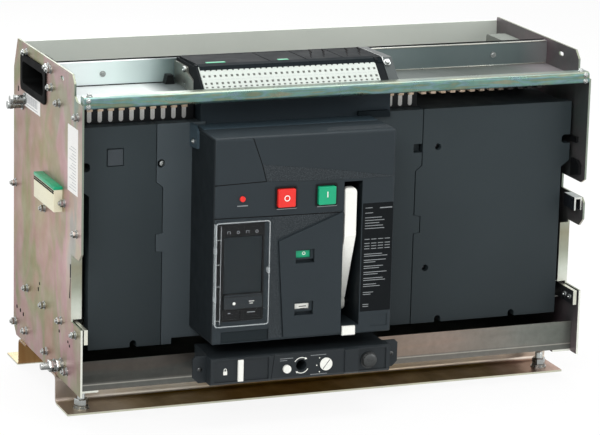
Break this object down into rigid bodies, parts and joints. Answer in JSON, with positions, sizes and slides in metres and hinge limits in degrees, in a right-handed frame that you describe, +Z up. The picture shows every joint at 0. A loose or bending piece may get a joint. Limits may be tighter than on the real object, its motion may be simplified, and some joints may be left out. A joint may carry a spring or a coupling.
{
  "type": "withdrawable air circuit breaker",
  "caption": "Low-voltage draw-out air circuit breaker in a plated steel cradle, with sliding rails, racking unit, charging handle, push-buttons and rear busbar terminals.",
  "frame": {"origin": "middle of the four foot bolt holes, on the underside of the foot rails", "axes": "+Z up, the operating front faces -Y, +X to the right seen from the front"},
  "size_m": [0.821, 0.4875, 0.505],
  "materials": {
    "plate_zinc": "iridescent yellow zinc plating",
    "bright_zinc": "bright blue zinc plating",
    "back_sheet": "plain pale grey",
    "copper": "plated copper",
    "case_plastic": "grained black moulding",
    "panel_plastic": "fine grained charcoal moulding",
    "cover_plastic": "smooth charcoal moulding",
    "accent_plastic": "grained grey insert",
    "black_trim": "semi-gloss black",
    "white_plastic": "off-white moulding",
    "red_plastic": "semi-gloss red",
    "green_plastic": "semi-gloss green",
    "cream_plastic": "cream moulding",
    "clear_plastic": "clear moulding"
  },
  "bodies": {
    "cradle": {"left_side_plate": "plate_zinc", "right_side_plate": "plate_zinc", "base_pan": "bright_zinc", "back_panel": "back_sheet", "top_front_bar": "plate_zinc", "wiring_tray": "bright_zinc", "front_foot_rail": "plate_zinc", "rear_foot_rail": "plate_zinc", "rail_channels": "bright_zinc", "right_stop_hook": "bright_zinc", "hand_grips": "black_trim", "terminal_insulators": "case_plastic", "upper_rear_terminals": "copper", "lower_rear_terminals": "copper", "secondary_terminal_base": "case_plastic", "secondary_terminal_strip": "white_plastic", "terminal_brackets": "bright_zinc", "side_terminal_block": "cream_plastic", "earth_stud": "bright_zinc", "left_side_bosses": "bright_zinc", "racking_box": "cover_plastic", "padlock_slide": "white_plastic", "release_button": "white_plastic", "position_indicator": "white_plastic", "key_lock": "black_trim"},
    "rails": {"draw_out_rails": "bright_zinc"},
    "breaker": {"breaker_case": "case_plastic", "breaker_runners": "bright_zinc", "arc_chute_grilles": "case_plastic", "plug_block": "case_plastic", "upper_contact_jaws": "copper", "lower_contact_jaws": "copper", "left_front_panel": "panel_plastic", "left_inner_panel": "panel_plastic", "right_inner_panel": "panel_plastic", "right_front_panel": "panel_plastic", "front_cover": "cover_plastic", "mechanism_panel": "cover_plastic", "accent_wedges": "accent_plastic", "trip_unit": "black_trim", "nameplate": "black_trim", "contact_flag": "green_plastic", "spring_flag": "white_plastic", "reset_button": "red_plastic", "handle_latch": "white_plastic", "handle_pin": "bright_zinc"},
    "trip_cover": {"trip_unit_cover": "clear_plastic"},
    "on_push": {"on_button": "green_plastic"},
    "off_push": {"off_button": "red_plastic"},
    "handle": {"charging_handle": "white_plastic"}
  },
  "joints": [
    {"name": "rail_pull", "type": "slide", "parent": "cradle", "child": "rails", "axis": [0, -1, 0], "range_m": [0, 0.22]},
    {"name": "racking", "type": "slide", "parent": "rails", "child": "breaker", "axis": [0, -1, 0], "range_m": [0, 0.06]},
    {"name": "trip_cover_hinge", "type": "hinge", "parent": "breaker", "child": "trip_cover", "pos_m": [-0.217, -0.2745, 0.2285], "axis": [0, 0, -1], "range_deg": [0, 110]},
    {"name": "on_press", "type": "slide", "parent": "breaker", "child": "on_push", "axis": [0, 1, 0], "range_m": [0, 0.004], "stiffness_N_per_m": 600},
    {"name": "off_press", "type": "slide", "parent": "breaker", "child": "off_push", "axis": [0, 1, 0], "range_m": [0, 0.004], "stiffness_N_per_m": 600},
    {"name": "handle_swing", "type": "hinge", "parent": "breaker", "child": "handle", "pos_m": [-0.0095, -0.229, 0.162], "axis": [1, 0, 0], "range_deg": [0, 70], "stiffness_Nm_per_rad": 0.6, "springref_deg": -45.84}
  ]
}
